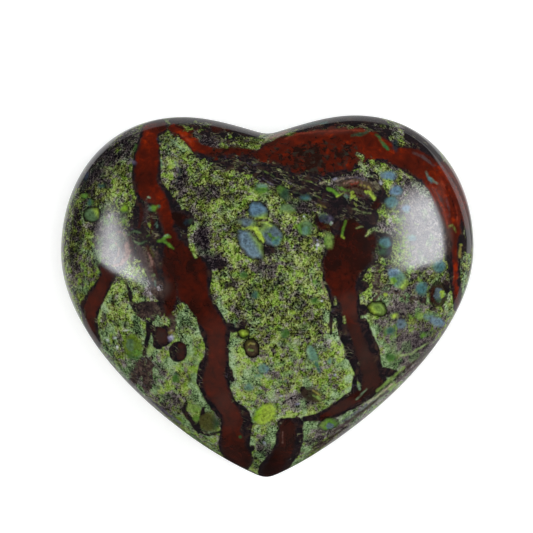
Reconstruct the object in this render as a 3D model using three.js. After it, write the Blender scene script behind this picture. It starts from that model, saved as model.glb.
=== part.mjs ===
// A dragon blood jasper heart: a puffy palm stone, ground and polished from one piece.
// Millimetres, +Z up. The stone lies on its back on z = 0 with its tip towards -Y,
// and the origin is under the middle of the outline's box.
import * as THREE from "three";

// The heart seen from above
const WIDTH = 45; // across both lobes, at the shoulders
const LENGTH = 39.3; // from the tops of the lobes to the tip
const LOBE_SPACING = 18.8; // between the tops of the two lobes
const CLEFT_DEPTH = 2.05; // from the tops of the lobes down to the cleft
const SHOULDER_Y = 5; // where the stone is widest

// How far each curve of the outline keeps its direction at its ends
const CLEFT_RUN = 3.3; // out of the cleft, sideways
const CLEFT_CLIMB = 0.95; // out of the cleft, upwards
const LOBE_INNER_RUN = 3.1; // level over the top of a lobe, towards the cleft
const LOBE_OUTER_RUN = 8.1; // level over the top of a lobe, towards the shoulder
const SHOULDER_RUN_UP = 8.4; // straight along the shoulder, towards the lobe
const SHOULDER_RUN_DOWN = 10.6; // straight along the shoulder, towards the tip
const TIP_RUN = 7.6; // out of the tip, sideways
const TIP_CLIMB = 2.8; // out of the tip, upwards

// The heart seen from the side
const GIRDLE_HEIGHT = 9.9; // the widest line, between the front dome and the back dome
const FRONT_RISE = 11; // from the girdle to the crown of the front dome
const EDGE_SHARE = 0.3; // how much of a dome's rise is in the roll of its edge
const EDGE_TIGHTNESS = 16; // how near the girdle the edge rolls over
const REST_WIDTH = 7.6; // the small flat that the back dome rests on
const CROWN_Y = 2.5; // the crown and the flat stand over the centre of mass
const MIDDLE_RADIUS = 18.6; // how wide a ring near the crown would be, grown out to the girdle
const HEART_SHARE = 2.6; // how late the rings turn from round to heart-shaped

// How finely the surface is cut
const POINTS_PER_SIDE = 44; // along the outline, from the cleft to the tip
const FRONT_RINGS = 18;
const BACK_RINGS = 15;

const top = LENGTH / 2;
const tip = new THREE.Vector2(0, -LENGTH / 2);
const crown = new THREE.Vector2(0, CROWN_Y);

// The right half of the outline, from the cleft over the lobe and the shoulder to the tip.
function rightSide() {
  const cleft = new THREE.Vector2(0, top - CLEFT_DEPTH);
  const lobe = new THREE.Vector2(LOBE_SPACING / 2, top);
  const shoulder = new THREE.Vector2(WIDTH / 2, SHOULDER_Y);
  const side = new THREE.CurvePath();
  side.add(
    new THREE.CubicBezierCurve(
      cleft,
      new THREE.Vector2(cleft.x + CLEFT_RUN, cleft.y + CLEFT_CLIMB),
      new THREE.Vector2(lobe.x - LOBE_INNER_RUN, lobe.y),
      lobe,
    ),
  );
  side.add(
    new THREE.CubicBezierCurve(
      lobe,
      new THREE.Vector2(lobe.x + LOBE_OUTER_RUN, lobe.y),
      new THREE.Vector2(shoulder.x, shoulder.y + SHOULDER_RUN_UP),
      shoulder,
    ),
  );
  side.add(
    new THREE.CubicBezierCurve(
      shoulder,
      new THREE.Vector2(shoulder.x, shoulder.y - SHOULDER_RUN_DOWN),
      new THREE.Vector2(tip.x + TIP_RUN, tip.y + TIP_CLIMB),
      tip,
    ),
  );
  return side.getSpacedPoints(POINTS_PER_SIDE);
}

// The whole outline, anticlockwise from the tip: up the right side and down the left one.
function heartOutline() {
  const right = rightSide().reverse();
  const left = right.slice(1, -1).reverse();
  return [...right, ...left.map((p) => new THREE.Vector2(-p.x, p.y))];
}

// The height of a dome as a share of its rise, at a share of the way from its crown to the girdle:
// a shallow bowl shape, and an edge that rolls over to upright at the girdle.
function domeShare(reach) {
  const bowl = 1 - reach ** 2;
  const roll = Math.sqrt(1 - reach ** EDGE_TIGHTNESS);
  return (1 - EDGE_SHARE) * bowl + EDGE_SHARE * roll;
}

// Where a ring of the surface is: how far it reaches from the crown, as a share, and how high.
// turn runs from 0 at the crown of a dome to 1 at the girdle.
function domeRing(turn, rise) {
  const reach = Math.sin((turn * Math.PI) / 2);
  return { reach, height: GIRDLE_HEIGHT + rise * domeShare(reach) };
}

// Every ring from the top down: the front dome, the girdle, the back dome and the flat's edge.
function rings() {
  const flatReach = REST_WIDTH / 2 / MIDDLE_RADIUS;
  const flatTurn = Math.asin(flatReach) / (Math.PI / 2);
  const backDrop = -GIRDLE_HEIGHT / domeShare(flatReach);
  const made = [];
  for (let i = 1; i <= FRONT_RINGS; i++) {
    made.push(domeRing(i / FRONT_RINGS, FRONT_RISE));
  }
  for (let i = 1; i <= BACK_RINGS; i++) {
    const turn = THREE.MathUtils.lerp(1, flatTurn, i / BACK_RINGS);
    made.push(domeRing(turn, backDrop));
  }
  made.at(-1).height = 0;
  return made;
}

// A point of a ring, in the direction of a point of the outline. Rings near the crown are round,
// and take on the lobes, the cleft and the tip as they near the girdle.
function ringPoint(outlinePoint, { reach, height }) {
  const spoke = outlinePoint.clone().sub(crown);
  const radius = THREE.MathUtils.lerp(
    MIDDLE_RADIUS,
    spoke.length(),
    reach ** HEART_SHARE,
  );
  const p = spoke.setLength(radius * reach).add(crown);
  return [p.x, p.y, height];
}

// The closed surface: a fan round the crown, a band between each two rings, and the flat.
function heartGeometry() {
  const outline = heartOutline();
  const levels = rings();
  const around = outline.length;
  const positions = [[crown.x, crown.y, GIRDLE_HEIGHT + FRONT_RISE]];
  for (const level of levels) {
    for (const point of outline) positions.push(ringPoint(point, level));
  }
  positions.push([crown.x, crown.y, 0]);

  const at = (ring, spoke) => 1 + ring * around + (spoke % around);
  const last = positions.length - 1;
  const faces = [];
  for (let s = 0; s < around; s++) {
    faces.push(0, at(0, s), at(0, s + 1));
    for (let r = 0; r + 1 < levels.length; r++) {
      faces.push(at(r, s), at(r + 1, s), at(r + 1, s + 1));
      faces.push(at(r, s), at(r + 1, s + 1), at(r, s + 1));
    }
    faces.push(at(levels.length - 1, s), last, at(levels.length - 1, s + 1));
  }

  const geometry = new THREE.BufferGeometry();
  geometry.setAttribute(
    "position",
    new THREE.Float32BufferAttribute(positions.flat(), 3),
  );
  geometry.setIndex(faces);
  geometry.computeVertexNormals();
  return geometry;
}

const polishedJasper = new THREE.MeshStandardMaterial({
  color: new THREE.Color(0.3, 0.32, 0.18),
  roughness: 0.12,
  metalness: 0,
});

const heart = new THREE.Mesh(heartGeometry(), polishedJasper);
heart.name = "heart";

const stone = new THREE.Group();
stone.add(heart);

export default stone;
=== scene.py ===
import math

import bpy
import numpy as np
from mathutils import Color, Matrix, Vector


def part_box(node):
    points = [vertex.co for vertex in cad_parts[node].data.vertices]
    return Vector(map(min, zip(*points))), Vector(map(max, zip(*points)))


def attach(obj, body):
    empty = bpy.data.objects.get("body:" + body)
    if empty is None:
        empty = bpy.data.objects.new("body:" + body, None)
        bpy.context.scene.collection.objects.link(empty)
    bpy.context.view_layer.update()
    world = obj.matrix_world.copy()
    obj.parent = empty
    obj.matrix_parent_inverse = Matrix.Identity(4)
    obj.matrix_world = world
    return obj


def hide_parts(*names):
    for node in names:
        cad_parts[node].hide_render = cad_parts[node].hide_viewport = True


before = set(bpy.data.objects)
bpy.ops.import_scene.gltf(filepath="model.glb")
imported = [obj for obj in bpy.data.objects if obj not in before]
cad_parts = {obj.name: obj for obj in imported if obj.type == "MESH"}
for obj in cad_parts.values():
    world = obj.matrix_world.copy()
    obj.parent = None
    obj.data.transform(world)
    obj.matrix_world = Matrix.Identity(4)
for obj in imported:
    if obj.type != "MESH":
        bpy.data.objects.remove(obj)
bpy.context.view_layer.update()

# The stone's shape
# One piece of dragon blood jasper, sawn from the rock, ground to a dome on both sides and
# polished all over into a puffy heart. It lies on its back, on the small flat of the back dome.
low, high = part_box("heart")
WIDTH = high.x - low.x
LENGTH = high.y - low.y
MM = WIDTH / 45
LOBE_SPACING = 18.8 * MM
CLEFT_DEPTH = 2.05 * MM
SHOULDER_Y = 5 * MM
GIRDLE_HEIGHT = 9.9 * MM
FRONT_RISE = high.z - GIRDLE_HEIGHT
EDGE_SHARE = 0.3
EDGE_TIGHTNESS = 16
REST_WIDTH = 7.6 * MM
CROWN = np.array([0, 2.5 * MM])
MIDDLE_RADIUS = 18.6 * MM
HEART_SHARE = 2.6

# How far the outline keeps its direction on each side of a point: sideways and upwards
OUT_OF_CLEFT = (3.3 * MM, 0.95 * MM)
LOBE_INNER_RUN = 3.1 * MM
LOBE_OUTER_RUN = 8.1 * MM
SHOULDER_RUN_UP = 8.4 * MM
SHOULDER_RUN_DOWN = 10.6 * MM
OUT_OF_TIP = (7.6 * MM, 2.8 * MM)
WORN_LENGTH = 3.2 * MM
WORN_OFF_TIP = 0.2 * MM
LEAN = 0.012

# How finely the curves and the surface are worked out
CURVE_COUNT = 300
OUTLINE_COUNT = 2400
DOME_COUNT = 2000
LEAST_IN_RING = 6
FRONT_STEP = 0.175 * MM
BACK_STEP = 0.21 * MM


def curve(start, start_run, end_run, end):
    """Points along a smooth curve that leaves start by start_run and meets end from end_run."""
    t = np.linspace(0, 1, CURVE_COUNT)[:, None]
    start, end = np.array(start), np.array(end)
    first, last = start + start_run, end + end_run
    left = 1 - t
    return left**3 * start + 3 * left**2 * t * first + 3 * left * t**2 * last + t**3 * end


def along(points, shares):
    """Points at some shares of the way along a line of points, and the length of the line."""
    marks = np.append(0, np.cumsum(np.hypot(*np.diff(points, axis=0).T)))
    places = np.stack([np.interp(shares * marks[-1], marks, points[:, i]) for i in (0, 1)], axis=1)
    return places, marks[-1]


def heart_outline():
    """The whole outline, anticlockwise from the tip. Polishing has worn its tip and cleft round,
    and the lobes lean a little to the right of the tip."""
    tip = (0, -LENGTH / 2 - WORN_OFF_TIP)
    shoulder = (WIDTH / 2, SHOULDER_Y)
    lobe = (LOBE_SPACING / 2, LENGTH / 2)
    cleft = (0, LENGTH / 2 - CLEFT_DEPTH)
    right = np.vstack([
        curve(tip, OUT_OF_TIP, (0, -SHOULDER_RUN_DOWN), shoulder),
        curve(shoulder, (0, SHOULDER_RUN_UP), (LOBE_OUTER_RUN, 0), lobe)[1:],
        curve(lobe, (-LOBE_INNER_RUN, 0), OUT_OF_CLEFT, cleft)[1:],
    ])
    loop = np.vstack([right, right[-2:0:-1] * (-1, 1), right[:1]])
    even, length = along(loop, np.arange(OUTLINE_COUNT) / OUTLINE_COUNT)
    reach = round(WORN_LENGTH / length * OUTLINE_COUNT / 2)
    weights = np.hanning(2 * reach + 3)[1:-1]
    worn = sum(w * np.roll(even, k, axis=0) for k, w in zip(range(-reach, reach + 1), weights))
    worn /= weights.sum()
    worn[:, 0] += LEAN * worn[:, 1]
    return np.vstack([worn, worn[:1]])


outline = heart_outline()
outline_length = along(outline, np.zeros(1))[1]


def dome_share(reach):
    """The height of a dome as a share of its rise: a shallow bowl with an edge that rolls over."""
    bowl = 1 - reach**2
    roll = np.sqrt(1 - reach**EDGE_TIGHTNESS)
    return (1 - EDGE_SHARE) * bowl + EDGE_SHARE * roll


def even_levels(reaches, heights, step):
    """Levels of a dome, so that its rings are about a step apart along the surface."""
    run = np.append(0, np.cumsum(np.hypot(np.diff(reaches) * MIDDLE_RADIUS, np.diff(heights))))
    at = np.linspace(0, run[-1], round(run[-1] / step) + 1)
    return np.stack([np.interp(at, run, reaches), np.interp(at, run, heights)], axis=1)


def ring(reach, height, step):
    """One ring of the surface, round near the crown and heart-shaped near the girdle."""
    count = max(LEAST_IN_RING, round(reach * outline_length / step))
    spokes = along(outline, np.arange(count) / count)[0] - CROWN
    lengths = np.hypot(*spokes.T)[:, None]
    radius = MIDDLE_RADIUS + (lengths - MIDDLE_RADIUS) * reach**HEART_SHARE
    points = CROWN + spokes / lengths * radius * reach
    return np.column_stack([points, np.full(count, height)])


def stitch(upper, lower):
    """Triangles between two closed rings of vertex numbers, which may differ in count."""
    faces = []
    i = j = 0
    while i < len(upper) or j < len(lower):
        here, below = upper[i % len(upper)], lower[j % len(lower)]
        if (i + 1) * len(lower) <= (j + 1) * len(upper):
            i += 1
            faces.append((here, below, upper[i % len(upper)]))
        else:
            j += 1
            faces.append((here, below, lower[j % len(lower)]))
    return faces


flat_reach = REST_WIDTH / 2 / MIDDLE_RADIUS
back_drop = GIRDLE_HEIGHT / dome_share(flat_reach)
to_girdle = np.sin(np.linspace(0, math.pi / 2, DOME_COUNT))
to_flat = to_girdle[::-1][to_girdle[::-1] > flat_reach]
front_levels = even_levels(to_girdle, GIRDLE_HEIGHT + FRONT_RISE * dome_share(to_girdle), FRONT_STEP)
back_levels = even_levels(to_flat, GIRDLE_HEIGHT - back_drop * dome_share(to_flat), BACK_STEP)
flat_levels = even_levels(np.array([flat_reach, 0]), np.zeros(2), BACK_STEP)

rings = [ring(reach, height, FRONT_STEP) for reach, height in front_levels[1:]]
rings += [ring(reach, max(height, 0), BACK_STEP) for reach, height in back_levels[1:-1]]
rings += [ring(reach, 0, BACK_STEP) for reach in flat_levels[:-1, 0]]
ring_reach = np.concatenate([front_levels[1:, 0], back_levels[1:-1, 0], flat_levels[:-1, 0]])
surface = np.vstack([[[*CROWN, GIRDLE_HEIGHT + FRONT_RISE]], *rings, [[*CROWN, 0]]])
ring_counts = [len(r) for r in rings]
reach_of = np.concatenate([[0], np.repeat(ring_reach, ring_counts), [0]])

numbers = np.split(np.arange(1, len(surface) - 1), np.cumsum(ring_counts)[:-1])
triangles = [(0, a, b) for a, b in zip(numbers[0], np.roll(numbers[0], -1))]
for upper, lower in zip(numbers, numbers[1:]):
    triangles += stitch(upper, lower)
triangles += [(a, len(surface) - 1, b) for a, b in zip(numbers[-1], np.roll(numbers[-1], -1))]

# The picture that the stone's markings follow
# The markings were read off the photograph, against a ruled grid, and every point below
# is in the photograph's pixels. A vein is a sheet in the rock, so it goes on through the stone
# at a slant of its own and comes out elsewhere on the back. A pebble is round.
PICTURE_SIZE = 533
HEART_PIXELS = 413
PIXEL = WIDTH / HEART_PIXELS
EYE = np.array([-0.04 * MM, 3.25 * MM])
EYE_DISTANCE = 242 * MM
PICTURE_TURN = math.radians(0.5)
FAR_OFF = 1e9

# Slow bends in the rock, which only show away from the front, and the finer ones within them
BEND_SIZE = 3.4 * MM
BEND_PIXELS = 14
BEND_STARTS = (0.4, 1.9, 4.1)
FINER_BENDS = 1.9
FINER_SHARE = 0.5
FULL_BEND_DEPTH = 60

front_height = GIRDLE_HEIGHT + FRONT_RISE * dome_share(reach_of)
depth = (front_height - surface[:, 2]) / PIXEL
sight = 1 / (1 - (front_height - GIRDLE_HEIGHT) / EYE_DISTANCE)
seen = (surface[:, :2] - EYE) * sight[:, None] / PIXEL
turn_cos, turn_sin = math.cos(PICTURE_TURN), math.sin(PICTURE_TURN)
seen = seen @ np.array([[turn_cos, turn_sin], [-turn_sin, turn_cos]]) * (1, -1) + PICTURE_SIZE / 2
bend_phase = surface[:, [1, 2, 0]] / BEND_SIZE + BEND_STARTS
bends = np.sin(bend_phase) + FINER_SHARE * np.sin(bend_phase[:, [1, 2, 0]] * FINER_BENDS)
bent = np.clip(depth / FULL_BEND_DEPTH, 0, 1)
rock = seen + BEND_PIXELS * bent[:, None] * bends[:, :2]


def smooth(low_end, high_end, value):
    """0 where a value is at low_end, 1 at high_end, and smooth in between."""
    share = np.clip((value - low_end) / (high_end - low_end), 0, 1)
    return share * share * (3 - 2 * share)


def everywhere(value):
    """The same number for each point of the surface."""
    return np.full(len(surface), float(value))


def from_route(route, slant=(0, 0)):
    """How far each point of the surface is from the edge of a route, in pixels, less than 0
    inside it. Its points are across, down, half width and, for the reds, how bright it glows.
    Also the glow at the nearest point of the route."""
    edge, glow = everywhere(FAR_OFF), everywhere(0)
    moved = rock - depth[:, None] * np.array(slant)
    points = np.array([(*point, 0)[:4] for point in route], float)
    for start, end in zip(points, points[1:] if len(points) > 1 else points):
        way = end - start
        square = max(way[:2] @ way[:2], 1 / FAR_OFF)
        share = np.clip((moved - start[:2]) @ way[:2] / square, 0, 1)
        nearby = start + share[:, None] * way
        away = np.hypot(*(moved - nearby[:, :2]).T) - nearby[:, 2]
        closer = away < edge
        edge = np.where(closer, away, edge)
        glow = np.where(closer, nearby[:, 3], glow)
    return edge, glow


# The veins
# Cracks that filled with iron-red jasper. Each has dark borders and a red heart that glows
# more in some places than in others.
LEFT_RIVER = {
    "slant": (0.22, -0.1),
    "red": [
        (160, 127, 6, 0.5), (150, 131, 7, 0.8), (149, 140, 7.5, 0.8), (149, 149, 10, 0.75),
        (147, 160, 12, 0.7), (146, 172, 11, 0.55), (146, 182, 10.5, 0.45), (149, 190, 10.5, 0.7),
        (157, 198, 8, 0.7), (162, 208, 7.5, 0.7), (167, 219, 7.5, 0.7), (168, 228, 5, 0.5),
        (172, 240, 6, 0.4), (175, 251, 12, 0.3), (183, 262, 16, 0.3), (190, 272, 17, 0.4),
        (192, 281, 15, 0.45), (192, 290, 14.5, 0.45), (197, 300, 12, 0.35), (203, 311, 12, 0.35),
        (210, 320, 10, 0.5), (216, 331, 9.5, 0.6), (217, 345, 8.5, 0.55), (217, 359, 8.5, 0.55),
        (215, 370, 9, 0.5), (214, 380, 11.5, 0.5), (217, 391, 11, 0.5), (223, 402, 8.5, 0.5),
        (230, 411, 8.5, 0.5), (233, 421, 9, 0.5), (231, 432, 9, 0.45), (233, 444, 12, 0.3),
        (240, 458, 11, 0.3),
    ],
    "border": [
        (160, 127, 8), (150, 131, 9), (149, 140, 10), (147, 152, 13), (147, 163, 14.5), (146, 178, 14.5),
        (149, 190, 15), (156, 202, 17), (163, 214, 19), (168, 228, 20), (171, 242, 17), (174, 253, 17),
        (183, 265, 19), (190, 275, 22.5), (190, 282, 21), (190, 290, 17.5), (196, 300, 16), (203, 311, 15),
        (210, 321, 14), (216, 332, 14.5), (217, 345, 12), (217, 359, 12), (214, 370, 16), (213, 379, 17),
        (216, 390, 15), (221, 401, 13), (228, 410, 12), (236, 419, 15), (236, 431, 15.5), (234, 444, 16),
        (240, 459, 13),
    ],
}
SMALL_LEFT_VEIN = {
    "slant": (0.1, 0.2),
    "red": [
        (101, 268, 1.5, 0.2), (109, 275, 5, 0.35), (104, 281, 5.5, 0.4), (101, 290, 6, 0.5),
        (96, 298, 7, 0.6), (91, 307, 7, 0.6), (90, 318, 5, 0.45), (92, 328, 3, 0.35), (95, 340, 2, 0.3),
    ],
    "border": [
        (100, 266, 3), (109, 273.5, 7.5), (105, 281, 7.5), (100, 290, 8.5), (95, 298, 9.5), (90, 307, 10),
        (90, 318, 8), (92, 330, 6.5), (97, 345, 4),
    ],
}
UPPER_BAND = {
    "slant": (-0.05, 0.3),
    "red": [
        (173, 128, 4, 0.8), (181, 132, 4, 0.8), (189, 140, 4.5, 1), (197, 147, 4.5, 0.9),
        (208, 151, 5, 0.65), (222, 151, 4.5, 0.5), (238, 151, 4, 0.4), (252, 154, 4, 0.5),
        (265, 156, 6, 0.7),
    ],
    "border": [
        (173, 128, 5), (189, 140, 5), (197, 149, 5.5), (208, 155, 8), (222, 158, 9), (240, 159, 11),
        (256, 162, 12), (266, 163, 12),
    ],
}
RIGHT_LOBE = {
    "slant": (-0.15, 0.25),
    "red": [
        (268, 152, 8, 0.65), (284, 150, 14, 0.62), (302, 152, 20, 0.68), (320, 151, 23, 0.68),
        (338, 148, 22, 0.66), (354, 146, 18.5, 0.68), (370, 143, 12, 0.7), (384, 149, 9, 0.8),
        (397, 156, 8, 0.75), (410, 159, 12, 0.5), (425, 167, 12, 0.6), (438, 179, 12, 0.8),
        (447, 193, 10, 0.8), (450, 206, 10, 0.75), (452, 220, 9, 0.75), (453, 232, 7, 0.6),
        (455, 245, 2, 0.6), (455, 258, 1.8, 0.8), (456, 271, 2.3, 0.9), (455.5, 284, 1.8, 0.8),
        (456.5, 297, 2, 0.7), (459, 307, 2, 0.5),
    ],
    "border": [
        (268, 153, 11), (286, 154, 18), (304, 156, 23), (322, 155, 26), (340, 151, 24), (356, 149, 19),
        (372, 147, 16), (386, 152, 12), (398, 158, 10), (413, 159, 16), (427, 167, 16), (439, 179, 15),
        (446, 195, 14), (450, 210, 14), (452, 224, 13), (453, 238, 11), (453, 252, 9), (454, 266, 6),
        (455, 280, 6), (457, 294, 5), (457, 308, 4),
    ],
}
RIGHT_VEIN = {
    "slant": (-0.25, 0.05),
    "red": [
        (350, 228, 10, 0.05), (360, 243, 16, 0.15), (350, 253, 22, 0.15), (343, 264, 20, 0.2),
        (341, 276, 16, 0.3), (343, 288, 12, 0.45), (349, 300, 8.5, 0.5), (349, 311, 7.5, 0.5),
        (352, 323, 5.5, 0.4), (357, 337, 6, 0.3), (363, 352, 7, 0.2), (369, 368, 8, 0.15),
        (373, 383, 9, 0.2), (364, 392, 5, 0.2), (349, 402, 5, 0.25), (337, 410, 4.5, 0.25),
        (322, 417, 3, 0.4),
    ],
    "border": [
        (345, 225, 16), (357, 242, 20), (350, 253, 25), (344, 265, 23), (341, 277, 19), (343, 289, 16),
        (345, 300, 15), (346, 311, 15), (348.5, 322, 13.5), (353, 334, 14), (358.5, 345, 14.5),
        (363, 356, 15.5), (367, 367, 14), (373, 378, 14), (377, 382, 9), (368, 391, 8), (349, 402, 8.5),
        (336, 410, 7), (320, 417, 4.5), (304, 419, 2.5),
    ],
}
TIP_COLUMN = {
    "slant": (0.05, 0.15),
    "red": [
        (288, 427, 7.5, 0.3), (288, 439, 8, 0.2), (284, 451, 8, 0.15), (276, 463, 8, 0.1),
        (271, 472, 8, 0.1),
    ],
    "border": [
        (283, 424, 6), (297, 424, 7), (290, 436, 14), (288, 448, 13), (280, 460, 12), (271, 471, 13),
    ],
}
VEINS = [LEFT_RIVER, SMALL_LEFT_VEIN, UPPER_BAND, RIGHT_LOBE, RIGHT_VEIN, TIP_COLUMN]

# Dark jasper between the veins, without a red heart, and painted dark reflections along the rim
DARK_PATCHES = [
    # left of the river
    [(143, 202, 9), (143, 216, 12), (143, 232, 15), (144, 248, 14), (150, 262, 10), (158, 275, 11),
     (163, 288, 12), (170, 300, 11)],
    [(185, 219, 9)],
    [(126, 281, 1.2), (130, 292, 1.8), (132, 303, 2.5), (137, 309, 4)],
    [(143, 309, 8), (156, 311, 10)],
    [(149, 322, 3), (148, 335, 2.5), (146, 347, 2), (143, 356, 2.5), (141, 365, 5), (137, 374, 5),
     (132, 383, 3)],
    [(152, 357, 1.5), (149, 366, 3.5), (147, 376, 5), (148, 388, 3)],
    [(172, 318, 3), (172, 330, 3.5)],
    [(155, 328, 5), (162, 336, 11), (158, 344, 6)],
    [(178, 350, 9), (178, 353, 9)],
    # at the top of the left lobe, above and below the band
    [(203, 131, 5), (213, 133, 6), (226, 135, 9), (238, 131, 5), (250, 134, 3)],
    [(196, 154, 2.5), (206, 158, 4.5), (222, 163, 7), (240, 164, 8), (256, 167, 9)],
    # below the red of the right lobe
    [(258, 173, 6), (273, 178, 9), (291, 184, 11), (306, 187, 13), (322, 194, 12), (335, 204, 12),
     (346, 217, 15)],
    [(366, 203, 10), (370, 218, 9), (366, 230, 9)],
    [(366, 170, 3), (373, 177, 5), (379, 187, 5), (382, 198, 6)],
    [(299, 131, 2.5), (325, 126, 3.5), (345, 122, 4), (370, 123, 5), (384, 131, 8), (387, 140, 5)],
    [(377, 235, 4), (385, 241, 8), (385, 252, 6)],
    # beside and below the right vein
    [(363, 286, 6)],
    [(362, 310, 6)],
    [(364, 322, 4), (369, 336, 4), (376, 350, 4), (377, 360, 4)],
    [(349, 355, 5)],
    [(333, 296, 1.6), (332, 310, 2), (331, 322, 1.8), (331, 334, 1.2)],
    [(378, 266, 3), (378, 282, 4), (378, 298, 3)],
    [(388, 286, 1.4), (400, 295, 2), (412, 301, 2.6), (424, 300, 1.8)],
    [(432, 308, 1.8), (441, 308, 1.8)],
    [(355, 378, 2.5), (354, 391, 3)],
    [(385, 372, 5), (395, 374, 4)],
    [(303, 390, 3.5), (306, 395, 3)],
    [(448, 240, 5), (450, 255, 4)],
    [(462, 232, 2), (463, 245, 2.5), (462, 256, 2)],
    # along the rim, over both lobes: painted dark reflection, the dark band the rim mirrors inside its pale
    # band
    [(172, 121, 3), (190, 122, 4.5), (216, 124, 5), (236, 128, 5), (256, 134, 4)],
    [(296, 127, 4), (312, 123, 5), (332, 120, 5), (352, 119, 6), (372, 121, 6), (384, 124, 4)],
    [(408, 133, 7), (418, 140, 8), (428, 148, 7), (437, 157, 5)],
    [(467, 222, 3), (469, 236, 4), (468, 250, 3.5)],
    [(446, 284, 4), (447, 290, 3)],
    # small ones in the moss
    [(226, 325, 3), (234, 328, 5), (241, 328, 4), (245, 321, 2.5)],
    [(264, 250, 4), (271, 250, 4)],
    [(220, 264, 5)],
    [(230, 372, 3), (232, 380, 2.5)],
    [(246, 418, 3), (250, 424, 3), (247, 438, 2.5)],
    [(252, 448, 3)],
    [(186, 404, 2), (184, 411, 2.5), (188, 417, 2.5), (193, 421, 3), (196, 427, 3.5), (200, 432, 2),
     (209, 435, 1.5), (219, 432, 1.5)],
    [(203, 408, 1.5), (203, 416, 3), (199, 423, 3.5)],
]
DARK_SLANT = (0.12, -0.2)

# Red in the dark jasper
RED_PATCHES = [
    [(167, 262, 6, 0.25), (171, 280, 6, 0.25), (170, 298, 6, 0.3), (168, 313, 6, 0.3)],
    [(176, 217, 6, 0.05), (184, 222, 7, 0.05)],
    [(157, 330, 4, 0.25), (163, 338, 6, 0.3)],
    [(181, 346, 3.5, 0.4), (181, 356, 3.5, 0.35)],
    [(213, 126.5, 1, 0.4), (224, 128.5, 1, 0.4), (231, 131, 0.6, 0.3)],
    [(176, 126, 2, 0.5), (184, 128, 3, 0.5), (192, 131, 2, 0.3)],
    [(443, 163, 3, 0.6), (451, 175, 6, 0.6), (458, 188, 8, 0.7), (462, 201, 8, 0.7), (465, 214, 6, 0.6),
     (468, 226, 3, 0.5)],
    [(317, 219, 3, 0.2), (322, 228, 3, 0.2), (330, 230, 2, 0.15)],
    [(379, 204, 4.5, 0.15)],
    [(346, 163, 4, 0.8), (350, 168, 3, 0.5)],
    [(428, 184, 2.5, 0.8), (434, 196, 2, 0.8), (438, 208, 2, 0.7), (442, 219, 1.5, 0.6)],
    [(433, 288, 1.5, 0.1), (433, 296, 2.5, 0.15), (435, 303, 1.5, 0.1)],
]

# Moss that shows through the dark and the red
MOSS_WINDOWS = [
    [(357, 154, 2), (362, 157, 3), (361, 165, 2.5), (365, 171, 4.5), (369, 176, 2)],
    [(371, 163, 3), (376, 168, 2)],
    [(393, 126, 4), (398, 128, 6.5), (398, 134, 6), (392, 138, 3)],
    [(366, 236, 1.5), (370, 232, 2.5), (374, 228, 1.5)],
    [(335, 297, 1), (335.5, 304, 1.6)],
    [(335.5, 319, 1), (336, 330, 2)],
    [(344, 317, 1.3), (344.5, 322, 1.6)],
    [(127, 273, 5), (136, 272, 6), (143, 275, 4)],
    [(137, 288, 5), (143, 294, 4), (135, 299, 3)],
    [(158, 316, 3), (166, 320, 3), (158, 324, 2)],
    [(182, 310, 7), (188, 322, 9), (192, 334, 8)],
    [(160, 288, 3)],
    [(240, 141, 5), (251, 142, 4), (257, 146, 4)],
    [(196, 122, 1.5), (203, 125, 2), (209, 126, 2.5)],
    [(375, 125, 1), (384, 126, 1.6)],
    [(193, 233, 2.5), (192, 246, 3), (196, 256, 2.5)],
    [(344, 181, 2), (352, 181, 3)],
    [(349, 188, 2.5)],
    [(287, 184, 3), (293, 186, 2)],
    [(305, 203, 4), (318, 207, 4)],
    [(230, 136, 2), (226, 142, 1)],
]

red_edge, border_edge, red_glow = everywhere(FAR_OFF), everywhere(FAR_OFF), everywhere(0)
reds = [(vein["red"], vein["slant"]) for vein in VEINS]
for route, slant in reds + [(patch, DARK_SLANT) for patch in RED_PATCHES]:
    edge, glow = from_route(route, slant)
    red_glow = np.where(edge < red_edge, glow, red_glow)
    red_edge = np.minimum(red_edge, edge)
borders = [(vein["border"], vein["slant"]) for vein in VEINS]
for route, slant in borders + [(patch, DARK_SLANT) for patch in DARK_PATCHES]:
    border_edge = np.minimum(border_edge, from_route(route, slant)[0])
for window in MOSS_WINDOWS:
    out_of_window = -from_route(window)[0]
    red_edge = np.maximum(red_edge, out_of_window)
    border_edge = np.maximum(border_edge, out_of_window)

# How far from its middle an oval is full and where it ends, as shares of its size
ZONE_FULL = 0.5
ZONE_END = 1.3


def zones(*ovals):
    """The sum of soft ovals of (across, down, half width, half height, amount)."""
    amounts = everywhere(0)
    for across, down, half_wide, half_tall, amount in ovals:
        reach = np.hypot((rock[:, 0] - across) / half_wide, (rock[:, 1] - down) / half_tall)
        amounts += amount * smooth(ZONE_END, ZONE_FULL, reach)
    return amounts


# Where the red is broken up by dark green specks
BROKEN_EVERYWHERE = 0.12
red_broken = BROKEN_EVERYWHERE + zones(
    (240, 152, 30, 10, 0.7), (214, 151, 14, 8, 0.4), (292, 160, 32, 24, 1), (330, 158, 34, 26, 0.85),
    (350, 150, 16, 20, 0.3), (410, 150, 22, 14, 0.5), (425, 165, 16, 14, 0.35), (160, 337, 8, 8, 1),
    (180, 352, 8, 8, 1), (150, 200, 10, 8, 0.4), (358, 245, 16, 12, 0.2),
)

# Where moss, dark and red have grown into each other
frayed = zones(
    (235, 164, 40, 14, 1.3), (290, 184, 40, 16, 1.1), (335, 200, 34, 26, 0.4), (205, 132, 34, 12, 1),
    (375, 175, 18, 30, 0.7), (365, 205, 20, 20, 0.7), (145, 372, 24, 26, 0.8), (142, 245, 18, 50, 1.1),
    (160, 318, 26, 14, 0.7), (330, 128, 50, 8, 0.5), (405, 298, 30, 14, 1), (318, 395, 16, 12, 0.5),
    (378, 282, 12, 24, 1.2), (437, 308, 12, 7, 1.2),
)

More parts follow.
